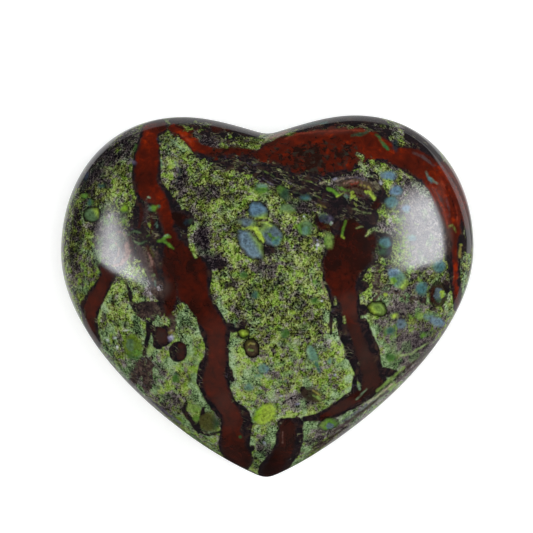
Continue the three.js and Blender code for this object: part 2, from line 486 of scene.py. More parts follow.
# Where the red and the dark are dull and dusty
dust = zones(
    (217, 365, 24, 50, 0.4), (228, 412, 18, 20, 0.4), (362, 335, 14, 30, 0.35), (370, 370, 14, 26, 0.4),
    (288, 440, 16, 20, 0.2), (235, 445, 20, 22, 0.15), (350, 305, 14, 14, 0.4), (95, 300, 16, 30, 0.3),
    (142, 375, 18, 24, 1.6), (150, 311, 15, 10, 1.5), (172, 324, 7, 10, 1.4), (148, 240, 14, 40, 0.8),
    (147, 262, 14, 14, 1.3), (152, 288, 18, 14, 1.6), (444, 240, 9, 22, 1.6), (440, 200, 6, 20, 0.6),
    (160, 337, 9, 9, 0.6), (180, 352, 9, 9, 0.4), (313, 393, 14, 12, 1.3), (405, 297, 26, 14, 1.5),
    (437, 308, 9, 5, 1.2), (320, 128, 40, 7, 0.6), (378, 282, 9, 24, 1.4), (342, 407, 24, 10, 0.5),
)

# The moss
# Fine green growths of chlorite in clear quartz. It is lighter and thicker in some places,
# calmer and paler in the lower half, duller on the right, and bluish beside the lower veins.
# Under the two soft-box highlights it is made calmer, paler and greyer: a painted wash of those highlights.
moss_light = zones(
    # lighter
    (250, 195, 13, 8, 0.8), (228, 208, 18, 10, 0.6), (286, 214, 17, 9, 0.8), (226, 245, 20, 6, 0.5),
    (241, 257, 14, 10, 1), (305, 262, 18, 22, 0.6), (312, 288, 10, 12, 0.5), (226, 306, 9, 14, 0.9),
    (168, 168, 9, 14, 1), (117, 193, 10, 14, 0.7), (118, 300, 22, 26, 0.8), (136, 272, 12, 8, 0.6),
    (342, 345, 12, 16, 0.8), (260, 318, 12, 10, 0.6), (350, 378, 8, 18, 0.7), (196, 350, 9, 22, 0.6),
    (238, 372, 10, 38, 0.7), (296, 416, 20, 6, 0.8), (369, 330, 7, 18, 0.8), (366, 300, 7, 10, 1),
    (392, 218, 12, 9, 0.7), (388, 187, 8, 8, 0.7), (446, 300, 9, 12, 0.7), (192, 248, 6, 18, 1.2),
    (208, 273, 10, 10, 0.7), (218, 287, 8, 7, 1), (366, 167, 10, 14, 0.6), (396, 132, 8, 8, 0.3),
    (262, 436, 12, 20, 0.3), (180, 148, 10, 14, 0.8), (410, 330, 10, 10, 1), (382, 345, 10, 10, 0.8),
    (118, 322, 12, 16, 0.5), (165, 380, 14, 10, 0.4), (190, 392, 12, 10, 0.4),
    # darker
    (207, 192, 20, 9, -1), (182, 175, 7, 20, -0.9), (231, 197, 9, 5, -0.8), (300, 212, 10, 8, -0.5),
    (98, 160, 16, 18, -1.2), (104, 182, 12, 10, -0.6), (75, 235, 8, 32, -1.2), (88, 195, 12, 12, -0.5),
    (202, 241, 9, 15, -2), (213, 262, 13, 8, -2), (277, 248, 14, 9, -0.7), (264, 270, 14, 10, -0.8),
    (256, 288, 9, 5, -0.6), (412, 344, 22, 12, -0.6), (424, 330, 16, 10, -0.8), (405, 312, 14, 14, -0.5),
    (180, 402, 24, 10, -0.8), (170, 414, 30, 10, -0.9), (205, 446, 24, 10, -0.5), (302, 238, 14, 12, -0.4),
    (304, 206, 17, 9, -1.3), (276, 286, 14, 12, -0.4), (312, 236, 8, 8, -0.5), (330, 440, 30, 10, -0.7),
    (262, 460, 14, 10, -1), (205, 142, 14, 7, -1), (368, 126, 28, 7, -1), (384, 136, 8, 10, -1.2),
    (135, 148, 12, 14, -0.7), (240, 236, 12, 6, -0.5), (238, 320, 10, 6, -0.6), (355, 425, 24, 8, -0.5),
    (245, 142, 14, 8, -1), (92, 168, 16, 26, -1), (112, 148, 18, 14, -1.2), (84, 205, 10, 20, -0.6),
    (355, 184, 24, 14, -1.4), (420, 352, 16, 12, -0.8), (402, 370, 14, 12, -0.8), (382, 390, 16, 11, -0.7),
    (352, 410, 18, 8, -0.5), (264, 446, 9, 12, -2), (300, 402, 16, 8, -0.8), (130, 140, 9, 12, -0.8),
    (84, 185, 9, 12, -1.1), (130, 140, 12, 12, -0.6), (74, 262, 6, 16, -0.6), (312, 432, 14, 16, -0.5),
    (125, 350, 26, 26, -0.4), (142, 376, 20, 18, -1.6),
)
# The first two ovals of the calm moss lie under the two soft-box highlights: there the moss is made calmer
# and paler as a painted wash of those highlights.
moss_calm_and_highlight_wash = zones(
    (418, 232, 26, 42, 1.5), (114, 240, 20, 32, 1.5), (194, 360, 12, 34, 0.8), (85, 280, 16, 22, 0.9),
    (415, 325, 42, 44, 1.1),
)
# The ovals at (426, 228), (115, 248) and (105, 222) lie under the soft-box highlights: there the moss is made
# greyer as a painted wash of those highlights.
moss_dull_and_highlight_wash = zones(
    (205, 141, 14, 8, 0.9), (385, 228, 12, 10, 0.9), (410, 195, 20, 18, 0.8), (400, 300, 26, 18, 0.7),
    (415, 345, 22, 12, 0.8), (385, 325, 10, 10, 0.5), (180, 178, 8, 20, 0.7), (207, 192, 18, 8, 0.5),
    (340, 425, 30, 12, 0.6), (170, 400, 22, 10, 0.4), (268, 270, 16, 10, 0.5), (302, 240, 16, 14, 0.15),
    (304, 206, 17, 9, 0.6), (105, 222, 18, 16, 0.7), (125, 160, 10, 10, 0.3), (80, 270, 14, 20, 0.4),
    (320, 340, 14, 10, 0.3), (285, 400, 30, 8, 0.4), (262, 240, 30, 40, 0.1), (426, 228, 22, 46, 1.1),
    (115, 248, 18, 22, 1.2), (205, 142, 22, 8, 0.6), (96, 160, 22, 28, 0.6), (355, 184, 24, 14, 0.8),
    (402, 370, 20, 14, 0.8), (378, 394, 20, 12, 0.8), (350, 414, 22, 10, 0.6), (155, 288, 14, 12, 1.4),
    (142, 374, 20, 22, 1.5), (415, 328, 42, 42, 0.4), (300, 402, 16, 9, 0.7), (202, 241, 9, 15, 1.1),
    (213, 262, 13, 8, 1.1), (400, 130, 8, 8, 0.7), (130, 140, 12, 12, 0.6), (264, 446, 9, 12, 0.5),
    (312, 432, 14, 16, 0.5),
)
moss_cool = zones(
    (188, 330, 14, 26, 0.6), (370, 320, 8, 26, 0.4), (390, 365, 14, 10, 0.4), (100, 270, 18, 40, 0.3),
    (92, 214, 20, 14, 0.2), (465, 275, 8, 22, 0.4), (230, 356, 8, 40, 0.5), (255, 360, 16, 24, 0.3),
    (178, 148, 10, 16, 0.5), (125, 345, 30, 36, 0.3),
)

# The lower half, and the pale rind of moss along its veins
LOWER_HALF = (310, 370)
RIND_ROWS = (270, 310)
RIND_WIDTHS = (14, 3)
low_part = smooth(*LOWER_HALF, rock[:, 1])
rind = smooth(*RIND_WIDTHS, border_edge) * smooth(*RIND_ROWS, rock[:, 1])
moss_light += 0.8 * low_part + 0.5 * rind
moss_calm_and_highlight_wash += 0.65 * low_part
moss_dull_and_highlight_wash += 0.25 * low_part
moss_cool += 0.15 * low_part + 0.5 * rind

# Pebbles and strokes
# Round nodules and leaf-like growths of clearer quartz. A few strokes are painted light instead: a reflected
# line along the top rim, a highlight along the cleft's crease and a dark reflected line on the right rim.
# Each pebble has a body and a rim of a second colour on one side, which is an angle from rightwards to
# downwards.


def stone_colour(code):
    """A colour as it looks in the photograph, as shares of the light that the stone sends back."""
    return Color([int(code[i : i + 2], 16) / 255 for i in (0, 2, 4)]).from_srgb_to_scene_linear()


PEBBLE_COLOURS = {
    "blue": "5E7C92", "grey blue": "6C8494", "slate": "2C3244", "storm": "5A6C78", "teal": "456F74",
    "deep teal": "345850", "sea": "5E8472", "pale sea": "8CAF88", "lime": "A0BA42", "bright lime": "7CA61E",
    "leaf": "5C8A2E", "deep leaf": "38602A", "moss": "7A9648", "pale moss": "8FA866", "olive": "5E761E",
    "brown": "33281F", "dull olive": "4E4C26", "straw": "8E8440", "emerald": "1F6838",
    "dark green": "2C4632", "black": "151215", "maroon": "36140F", "pale red": "8A3A28", "smoke": "4A3C3C",
    "bark": "4E4030", "fern": "5A7650", "night": "1D282E", "yellow lime": "C8E054", "white": "D2D4DA",
    "dusk": "5C5468", "lavender": "9A94B8", "cream": "B0A48C", "pink": "8C6A60",
}
shade_of = {name: np.array(stone_colour(code)) for name, code in PEBBLE_COLOURS.items()}

# across, down, half length, half width, tilt, body, rim, side of the rim, outline
PEBBLES = [
    # the group in the middle
    (258, 211, 9.5, 7.5, 35, "blue", "moss", 70, 0.9),
    (247.5, 222.5, 9.5, 4.5, 12, "storm", "moss", 40, 0.6),
    (271, 234.5, 13, 9, 48, "storm", "moss", 235, 0.8),
    (276.5, 241, 5, 4.5, 0, "teal", "leaf", 240, 0),
    (270.5, 235.5, 3, 2, 40, "leaf", "fern", 0, 0),
    (250.5, 244.5, 16.5, 9, 52, "grey blue", "moss", 330, 0.8),
    # above and to the right of the group
    (262, 189, 8, 5, 0, "deep leaf", "leaf", 80, 0.3),
    (262, 186, 6, 2.5, 5, "sea", "leaf", 90, 0),
    (284, 193.5, 8.5, 5, 50, "dark green", "leaf", 230, 0.4),
    (306, 198, 6, 3, 5, "teal", "deep leaf", 90, 0.2),
    (287, 209, 9, 4.5, 10, "fern", "olive", 90, 0),
    (305, 228, 7.5, 7.5, 20, "fern", "leaf", 180, 0.2),
    (306, 231, 4, 5, 0, "sea", "deep leaf", 0, 0),
    (329, 241, 8, 5, 80, "moss", "leaf", 180, 0),
    (323.5, 222, 10, 8, 0, "maroon", "black", 200, 0.4),
    (326, 218.5, 7.5, 5, 20, "slate", "dusk", 0, 0),
    # the blue row on the right
    (388, 175, 7.5, 4.8, 10, "blue", "grey blue", 180, 0),
    (396.5, 190.5, 6.8, 5.6, 0, "blue", "teal", 0, 0.2),
    (392, 202.5, 6.8, 6.2, 0, "teal", "teal", 60, 0.5),
    (406, 209, 4.2, 4.5, 0, "blue", "sea", 90, 0),
    (412, 238, 4.5, 3.5, 0, "teal", "sea", 270, 0),
    (385, 243, 7, 6, 0, "teal", "deep leaf", 120, 0.3),
    (384, 252, 7, 4, 0, "dark green", "slate", 0, 0.3),
    (398.5, 279.5, 11.5, 8, 50, "sea", "lime", 40, 0.3),
    (394.5, 273, 6.5, 5.5, 10, "blue", "sea", 60, 0),
    (393.5, 281, 3, 3.6, 0, "leaf", "lime", 150, 0),
    (421.5, 289, 6.5, 7, 0, "teal", "deep teal", 90, 0.2),
    (439, 266.5, 6.5, 6.5, 0, "teal", "sea", 180, 0.2),
    (377.5, 308.5, 8.4, 6.2, 15, "moss", "lime", 150, 1),
    (421, 315.5, 6, 4.5, 0, "moss", "leaf", 180, 0),
    (430.5, 318.5, 8, 4, 20, "storm", "sea", 250, 0),
    (437.5, 322, 7, 4.8, 20, "grey blue", "blue", 0, 0),
    (401, 324.5, 5.5, 5.2, 0, "storm", "storm", 0, 0.2),
    (389.5, 331, 6.5, 4.6, 0, "deep teal", "leaf", 180, 0.2),
    (391, 358, 5.5, 5, 0, "deep leaf", "leaf", 90, 0.2),
    (385.5, 294.5, 2.5, 2, 0, "lime", "lime", 0, 0.2),
    (394, 316, 4, 3, 0, "lime", "leaf", 180, 0),
    (438, 294.5, 10.5, 8, 90, "brown", "maroon", 180, 0.8),
    (438.5, 295, 7.5, 4.6, 85, "storm", "dark green", 90, 0),
    (442.5, 294, 4, 2.6, 90, "lime", "leaf", 0, 0),
    # the lower middle
    (312, 354, 8.5, 5, 62, "sea", "pale sea", 170, 0.3),
    (263, 368.5, 6, 5.5, 0, "sea", "blue", 0, 0),
    (258, 376, 5, 3, 0, "sea", "pale sea", 0, 0),
    (243.8, 333.5, 4.6, 3.8, 0, "lime", "bright lime", 90, 1),
    (251.5, 348, 8.4, 6.6, 75, "bark", "dull olive", 225, 1),
    (243.5, 275.5, 4.5, 5, 0, "deep leaf", "olive", 90, 0),
    (255.5, 295, 4.5, 4.5, 0, "deep teal", "leaf", 0, 0.2),
    (285, 334, 5, 5.5, 0, "deep leaf", "dark green", 90, 0),
    (314, 301, 5, 4, 0, "deep leaf", "moss", 90, 0),
    (314.5, 282, 3.2, 3, 0, "leaf", "deep leaf", 0, 0),
    (293, 313, 3, 2.5, 0, "lime", "leaf", 90, 0),
    (265, 414, 13, 8.5, 325, "lime", "bright lime", 200, 0.4),
    (249, 388, 5, 5, 0, "sea", "moss", 90, 0),
    (330, 361, 3, 4, 0, "sea", "moss", 0, 0),
    (328.5, 424.5, 8.6, 5.6, 340, "leaf", "moss", 200, 0.8),
    (330, 426, 4, 3, 340, "storm", "teal", 90, 0),
    (311, 395, 12, 7.5, 20, "brown", "dull olive", 0, 0.3),
    (209, 422, 10.5, 9.5, 30, "dull olive", "dark green", 0, 0.5),
    (194, 408, 7, 5, 0, "moss", "leaf", 60, 0),
    (196, 418, 3.2, 5, 0, "leaf", "moss", 90, 0),
    (176, 378, 6.5, 4.2, 80, "deep leaf", "dark green", 270, 0),
    # the left
    (92, 214.5, 7.8, 6.8, 330, "fern", "lime", 330, 1),
    (90, 202.5, 4.2, 3.4, 60, "deep teal", "leaf", 0, 0.3),
    (84.5, 196, 3.5, 3, 0, "leaf", "deep leaf", 90, 0),
    (86, 176.5, 5.5, 2.6, 300, "slate", "night", 90, 0),
    (124.5, 209.5, 3.5, 4, 0, "bright lime", "deep leaf", 80, 0.6),
    (153, 208.5, 4.2, 3.5, 0, "leaf", "sea", 170, 0.2),
    (159.5, 206.5, 2.6, 2, 0, "deep teal", "leaf", 180, 0),
    (149, 197.5, 2, 1.2, 0, "pale sea", "sea", 0, 0),
    (170.5, 167.5, 2.6, 2.4, 0, "lime", "moss", 90, 0.3),
    (102.5, 186, 4, 3, 0, "deep teal", "dark green", 0, 0),
    (187, 222, 5.5, 3.5, 330, "night", "dark green", 0, 0),
    (133, 347, 13.5, 10, 80, "olive", "deep leaf", 90, 0),
    (131, 345, 6, 5, 70, "fern", "olive", 0, 0),
    (136, 353, 4, 3.5, 0, "leaf", "olive", 90, 0),
    (150, 350, 5.8, 3.4, 100, "pale moss", "moss", 200, 0.2),
    (171, 332, 3, 2.6, 0, "straw", "cream", 270, 0),
    (171, 338.5, 2.8, 3.4, 0, "lavender", "white", 270, 0.2),
    (180, 420, 5, 3, 30, "olive", "leaf", 0, 0),
    # the brown one below the right lobe
    (356, 188, 19, 10, 5, "bark", "smoke", 90, 0),
    # along the rim
    (391, 387, 9, 3.4, 318, "moss", "lime", 200, 0),
    (371, 404, 7, 2.4, 318, "leaf", "moss", 200, 0),
    (424, 335, 4.5, 2.4, 340, "leaf", "deep leaf", 0, 0),
    (396, 145, 8, 4.2, 80, "night", "black", 0, 0),
    (461, 245, 1.8, 1.5, 0, "straw", "lime", 270, 0),
    (240.5, 437, 2, 1.6, 0, "emerald", "dark green", 0, 0),
    # holes in the moss
    (113, 302, 4.4, 3, 70, "black", "maroon", 90, 0),
    (105, 316, 4.6, 2.2, 60, "black", "night", 90, 0),
    (107, 347, 3.4, 1.6, 70, "night", "black", 90, 0),
    (125, 325, 4, 3, 20, "black", "brown", 90, 0),
    (297, 330, 4.2, 2.8, 20, "black", "brown", 0, 0),
    (302.5, 333.5, 3, 2, 0, "black", "brown", 0, 0),
    (228, 285.5, 4.6, 2.6, 10, "black", "brown", 0, 0),
    (237, 307, 2.6, 3, 0, "black", "brown", 0, 0),
    (194, 252.5, 2.8, 1.1, 0, "black", "brown", 0, 0),
    (202.5, 262.5, 1.6, 1.1, 0, "black", "brown", 0, 0),
    (256, 285.5, 4, 2, 15, "black", "brown", 0, 0),
    (190, 379, 6, 2.6, 65, "black", "slate", 0, 0),
    (158, 388, 3, 2, 20, "dark green", "black", 0, 0),
    (169, 396, 3.5, 2, 20, "black", "dark green", 0, 0),
    # sparkles of clear quartz
    (108, 340.5, 2.2, 1.4, 30, "white", "pale sea", 90, 0),
    (115, 338, 2, 1.2, 340, "white", "pale sea", 90, 0),
    (117, 348, 2.6, 1.4, 100, "white", "pale sea", 90, 0),
    (125.5, 330.5, 4.2, 1.2, 350, "white", "pale moss", 90, 0),
    (317, 240, 1.4, 1.2, 0, "lavender", "white", 0, 0),
    (317.5, 245, 1.8, 1.5, 90, "white", "lavender", 90, 0),
    (316.5, 249, 1.3, 1, 0, "lavender", "white", 0, 0),
    (304, 216.5, 1.2, 1.2, 0, "white", "lavender", 0, 0),
    (331, 223.5, 1.8, 1.3, 60, "pale sea", "white", 0, 0),
    (322, 301, 1.4, 1, 0, "white", "lavender", 0, 0),
    (335, 375, 1.6, 1.3, 0, "lavender", "white", 0, 0),
    (350, 382, 1.2, 1.2, 0, "white", "pale sea", 0, 0),
    (264.5, 443.5, 2.6, 1.6, 60, "lavender", "white", 90, 0),
    (281, 396, 2.2, 1.4, 0, "lavender", "white", 0, 0),
    (298, 404, 3.5, 1.2, 350, "lavender", "cream", 0, 0),
    (225, 229, 1.4, 1, 0, "lavender", "cream", 0, 0),
    (335, 179, 2.6, 1.6, 340, "lavender", "white", 0, 0),
    (176, 156, 3, 1.6, 40, "dusk", "slate", 0, 0),
    (133, 162, 4, 2.4, 50, "dusk", "slate", 90, 0),
]

# The strokes of each colour, as routes of across, down and half width. Later ones lie over earlier ones.
STROKES = [
    ("leaf", [
        [(328, 188.5, 1.8), (332, 190, 2.4), (338, 195, 1.8)],
        [(346, 221, 1), (343.5, 228, 1.2), (342, 235, 1.4)],
        [(158, 241, 1.4), (163, 240.5, 1.6), (169, 245, 2), (173, 248.5, 1)],
        [(162, 240, 1.4), (166, 236.5, 2.2), (170, 237, 1)], [(147, 236, 0.8), (150, 234.5, 0.9)],
        [(337, 186, 0.8), (342, 189, 1), (348, 191, 0.8)],
    ]),
    ("lime", [
        [(244, 229, 1), (251, 228, 1.6), (256.5, 229.5, 3), (259.5, 236, 2.8), (263.5, 241.5, 1.6)],
        [(251, 218.5, 0.5), (258, 219, 1), (265, 217, 0.8)],
        [(259, 224, 0.8), (265, 222.5, 1), (271, 225.5, 0.8)],
        [(337, 196.5, 0.8), (341, 194.5, 0.9), (344, 192.5, 0.8)],
        [(352, 193, 2), (353.5, 195.5, 2.4), (351, 198, 1.4)],
        [(363, 190, 0.8), (370, 193, 1.8), (374, 198, 2.2)], [(341, 236.5, 0.8), (344, 238, 1)],
        [(149, 224, 1), (152, 231, 1.1)],
    ]),
    ("black", [
        [(248, 230, 0.7), (250, 231, 1), (252, 232.5, 0.9)], [(254, 234.5, 0.9), (257, 237.5, 1)],
        [(260, 241, 0.9), (263, 244, 1.3)], [(299, 394, 0.8), (302, 389, 1.1), (309, 386.5, 0.8)],
        # the next route is a painted dark reflection: the dark line inside the pale band of the right rim
        [(452, 178, 0.5), (458, 187, 0.8), (464, 199, 0.9), (468, 209, 0.9),
         (470.5, 220, 0.9), (471.5, 236, 0.7)],
        [(112, 321, 1.2), (118, 326, 1.6)],
    ]),
    ("pale sea", [
        [(164, 236, 0.8), (168, 234.5, 0.8)], [(356, 400, 0.6), (361, 395, 1), (367, 389, 0.6)],
        [(358, 384, 0.8), (359.5, 389, 1.1)], [(234.5, 322, 0.6), (235.5, 327, 0.8)],
        [(170, 138, 0.5), (177, 144, 0.8), (184, 151, 0.8)], [(161, 159, 0.8), (162, 168, 0.8)],
    ]),
    ("straw", [
        [(247, 345, 0.6), (251, 343, 0.9), (254, 344, 0.6)], [(160, 321, 0.8), (166, 322.5, 0.7)],
        [(312, 390, 0.5), (318, 393, 0.8), (323, 398, 0.5)],
        [(314, 204, 0.3), (322, 206, 0.5), (330, 209, 0.3)], [(460, 248.5, 1.2), (460, 257, 1.6)],
        [(358, 184, 0.6), (366, 186, 0.8), (372, 190, 0.6)],
    ]),
    ("sea", [
        [(426, 171.5, 1), (428, 176, 1.6), (431, 180, 1.9), (437, 183, 0.9)],
        [(344, 195.5, 1), (347, 197, 1.6)], [(157, 222, 0.8), (157, 227, 0.9)],
        [(155, 281, 0.9), (156, 287, 0.8)],
    ]),
    ("dark green", [
        [(352, 135.5, 1.4), (360, 134.5, 2.2), (368, 132, 1.6)],
        [(172, 135, 0.6), (180, 142, 0.9), (188, 149, 0.7)],
    ]),
    ("deep leaf", [[(130.5, 166, 1.2), (130.5, 171, 1.4)], [(136, 145, 1.4), (135, 151, 1.2)]]),
    ("deep teal", [
        [(316, 362, 2), (319, 371, 2.4)], [(301, 125, 1), (312, 123.5, 1.6), (327, 122.5, 1.2)],
    ]),
    ("emerald", [
        [(376, 135, 1.4), (379, 136.5, 1.9), (381, 141, 1.5), (385, 146, 1.9), (388, 149.5, 1.6)],
        [(279, 381.5, 0.8), (286, 381.5, 0.9)],
    ]),
    ("dull olive", [[(149, 249, 2.4), (152, 256, 2.8)]]),
    ("lavender", [[(262, 178, 0.4), (273, 185, 0.5)]]),
    ("night", [[(181, 169, 0.8), (179, 177, 1.4), (176, 184, 0.9)]]),
    ("slate", [[(156, 138, 0.6), (162, 142, 0.8), (169, 147, 0.5)]]),
    ("teal", [[(428, 178, 1.4), (431, 181, 1.8), (431.5, 184, 0.9)]]),
    ("white", [[(380, 180.5, 0.8), (381, 184, 1.2)]]),
    ("yellow lime", [[(255, 227, 0.6), (258, 231.5, 1), (261, 237.5, 0.9)]]),
    ("smoke", [
        [(433, 188, 2), (439, 198, 2.4), (443, 208, 2.2), (446, 218, 1.6)],
        [(446, 196, 0.8), (448, 206, 1.2), (450, 217, 0.9)],
        [(455, 322, 1.6), (442, 340, 2.6), (427, 353, 2.4), (412, 364, 2), (400, 372, 1.4)],
        [(388, 391, 1.4), (368, 407, 2.2), (350, 420, 2.2), (334, 431, 1.6)],
        [(108, 361, 1.4), (122, 378, 1.8), (138, 393, 1.6), (154, 406, 1.4)],
        [(412, 152, 1.2), (423, 157, 1.8), (434, 166, 1.2)],
        [(146, 200, 1.2), (147, 210, 1.6), (146, 222, 1.2)],
        [(137, 243, 2), (141, 253, 2.6), (146, 264, 2.2), (150, 276, 2)],
    ]),
    ("moss", [
        [(249, 349.5, 0.5), (253, 351, 0.8)], [(449, 226, 0.7), (453, 225, 0.9), (456, 232, 0.8)],
        [(311, 395, 0.5), (317, 397, 0.8), (322, 401, 0.5)],
        [(262, 170, 0.3), (270, 174, 0.5), (277, 179, 0.3)],
        [(299, 178, 0.3), (306, 181, 0.6), (312, 182, 0.3)],
        [(308, 193, 0.3), (316, 196, 0.5), (325, 201, 0.3)],
        [(404, 367, 1.4), (392, 378, 1.6), (377, 391, 1.4)],
    ]),
    ("brown", [
        [(235, 225.5, 1.5), (239, 226.5, 1.8), (243, 228.5, 1)],
        [(248, 216, 1), (256, 220.5, 1.2), (262, 221, 1.5), (267, 220, 1.8)],
        [(439, 183.5, 0.7), (449, 184.5, 0.6)],
        [(445, 336, 1), (430, 350, 1.6), (415, 362, 1.4), (402, 373, 1)],
        [(398, 377, 1), (386, 387, 1.2), (372, 399, 1)],
        [(352, 424, 1.2), (332, 437, 1.8), (312, 448, 1.4)],
    ]),
    ("smoke", [[(338, 436, 1.4), (322, 446, 1.6), (306, 455, 1.2)]]),
    ("pink", [
        [(127, 243, 2), (128, 252, 3), (123, 261, 2.5)],
        [(113, 236, 0.7), (118, 231, 0.9), (124, 234, 0.9), (127, 241, 0.8), (124, 247, 0.6)],
        [(116, 243, 0.7), (119, 249, 1), (118, 256, 1.1), (114, 261, 1)],
        [(125, 246, 1), (129, 251, 1.4), (127, 258, 1.6), (121, 264, 2), (113, 266, 1.6)],
        [(321, 266, 0.5), (321, 280, 0.6), (324, 290, 0.6), (329, 297, 0.5)],
        [(343, 184, 0.6), (352, 181, 0.9), (362, 183, 0.6)], [(282.5, 432, 0.5), (282.5, 443, 0.5)],
    ]),
    ("pale red", [
        # the first route is a painted reflection: the pale line where the top rim of the right lobe mirrors
        # the light
        [(285, 139, 0.8), (300, 133.5, 1), (320, 131.5, 1), (342, 130.5, 1), (366, 130, 0.8)],
        [(182, 135, 0.8), (187, 139, 1.3), (191, 142, 0.9)], [(351, 184, 0.6), (358, 183, 0.8)],
        [(430, 184, 0.9), (438, 198, 1.1), (445, 212, 1.2), (448, 228, 0.9)],
        [(442, 182, 0.8), (451, 196, 1), (456, 210, 1), (458, 226, 0.8)],
    ]),
    ("maroon", [
        [(121, 238, 1), (123, 243, 1.2), (122, 252, 1), (124, 258, 0.8)],
        [(129, 236, 2.2), (132, 245, 2.4), (133, 254, 2), (131, 262, 1.6)],
        [(346, 188, 1), (356, 186, 1.4), (366, 190, 1)],
        [(353, 194, 0.9), (361, 196, 1.2), (367, 200, 0.8)],
        [(436, 349, 1.4), (422, 361, 1.8), (408, 372, 1.8), (396, 383, 1.2)],
        [(446, 186, 1.3), (453, 202, 1.6), (456, 218, 1.2)],
        [(140, 204, 1.6), (142, 215, 2.2), (139, 227, 1.6)],
        [(150, 214, 1.6), (153, 224, 2), (150, 234, 1.4)],
    ]),
    ("fern", [
        [(288, 190, 0.3), (298, 193, 0.5), (306, 196, 0.3)],
        [(128, 235, 0.9), (134, 231, 1.2), (141, 233, 1)],
        [(133, 241, 0.9), (140, 244, 1.1), (147, 241, 0.9)],
    ]),
    ("cream", [
        # the first route is a painted highlight along the crease where the lobes meet at the cleft
        [(263, 144, 0.5), (266, 140, 0.9), (269, 136, 1.1), (273, 133.5, 0.7)],
        [(320, 183.5, 0.9), (326, 181.5, 0.7)], [(322, 296, 0.8), (328, 299, 0.7)],
        [(336, 181, 0.6), (345, 178, 0.7), (356, 176.5, 0.6)],
        [(366, 180, 0.5), (375, 184, 0.7), (381, 190, 0.6)],
    ]),
    ("dusk", [
        [(280, 179, 0.3), (288, 182, 0.5), (294, 185, 0.3)],
        [(173, 158, 1), (177, 164, 1.4), (178, 171, 1.1)],
        [(346, 178.5, 0.6), (356, 177, 0.9), (366, 180, 0.7)],
        [(376, 398, 1.1), (358, 411, 1.5), (342, 422, 1.2)],
        [(148, 398, 1), (164, 411, 1.4), (180, 423, 1.2)],
    ]),
    ("pale moss", [
        [(153, 275.5, 1), (156, 275, 1)],
        [(350, 209.5, 0.5), (356, 209, 0.7), (361, 212, 0.6), (371, 213, 0.5)],
        [(356, 228.5, 0.7), (360, 227, 0.9), (363, 227, 0.6)],
        [(177, 139, 0.8), (184, 146, 1.3), (191, 152, 0.9)], [(176, 159, 0.7), (178, 166, 0.9)],
        [(400, 356, 1), (410, 354, 1.2), (420, 348, 1), (430, 342, 0.8)],
    ]),
    ("cream", [[(392, 384, 0.9), (380, 394, 1), (368, 403, 0.8)]]),
    ("maroon", [[(147, 246, 1.8), (152, 262, 2.2), (157, 276, 2)]]),
    ("pink", [
        [(270, 138, 1.6), (279, 134.5, 2.4), (288, 131, 1.4)],
        [(148, 253, 0.9), (152, 262, 1.2), (150, 270, 0.9)],
    ]),
]

PEBBLE_RIM = (0.1, 0.85)
CRISP_SIZE = 3
STROKE_CRISPNESS = 1.6
STROKE_DEPTH = 0.5
inlay_edge, inlay_ring = everywhere(FAR_OFF), everywhere(0)
inlay_shade = np.zeros((len(surface), 3))


def inlay(edge, shades, outline=0.0):
    """Lays a pebble or a stroke over those before it."""
    on_top = (edge < inlay_edge) | (edge < 0)
    inlay_shade[on_top] = shades[on_top]
    inlay_ring[on_top] = outline
    np.minimum(inlay_edge, edge, out=inlay_edge)


def two_shades(body, rim, rim_cover):
    """A pebble's colour, which turns to that of its rim."""
    return shade_of[body] + rim_cover[:, None] * (shade_of[rim] - shade_of[body])


def lay_pebble(across, down, half_long, half_wide, tilt, body, rim, rim_side, outline):
    """One pebble, an egg that ends a little way under the front."""
    turn, side = math.radians(tilt), math.radians(rim_side)
    away = rock - (across, down)
    lengthways = away @ (math.cos(turn), math.sin(turn)) / half_long
    sideways = away @ (-math.sin(turn), math.cos(turn)) / half_wide
    reach = np.sqrt(lengthways**2 + sideways**2 + (depth / half_wide) ** 2)
    size = math.hypot(half_long * math.cos(turn - side), half_wide * math.sin(turn - side))
    rim_cover = smooth(*PEBBLE_RIM, away @ (math.cos(side), math.sin(side)) / size)
    crispness = max(min(half_long, half_wide), CRISP_SIZE)
    inlay((reach - 1) * crispness, two_shades(body, rim, rim_cover), outline)


for pebble in PEBBLES:
    lay_pebble(*pebble)
for name, routes in STROKES:
    for route in routes:
        edge = from_route(route)[0]
        edge = np.where(depth > STROKE_DEPTH, np.hypot(np.maximum(edge, 0), depth), edge)
        inlay(STROKE_CRISPNESS * edge, np.tile(shade_of[name], (len(surface), 1)))

# More pebbles, drawn by lot, round the sides and the back
SIDE_PEBBLES = 90
SIDE_DEPTH = 26
SIDE_RADII = (3, 9.5)
SIDE_SQUASH = (0.7, 1.3)
SIDE_RIM = (0, 0.8)
SIDE_OUTLINES = [0, 0.3, 0.8]
SIDE_COLOURS = ["blue", "grey blue", "teal", "deep teal", "sea", "leaf", "lime", "moss", "olive", "slate"]
chance = np.random.default_rng(7)
for number in chance.choice(np.flatnonzero(depth > SIDE_DEPTH), SIDE_PEBBLES, replace=False):
    radius = chance.uniform(*SIDE_RADII)
    away = (surface - surface[number]) / PIXEL * chance.uniform(*SIDE_SQUASH, 3)
    body, rim = chance.choice(SIDE_COLOURS, 2)
    rim_cover = smooth(*SIDE_RIM, away @ chance.normal(size=3) / radius)
    reach = np.sqrt((away**2).sum(axis=1))
    inlay(reach - radius, two_shades(body, rim, rim_cover), chance.choice(SIDE_OUTLINES))

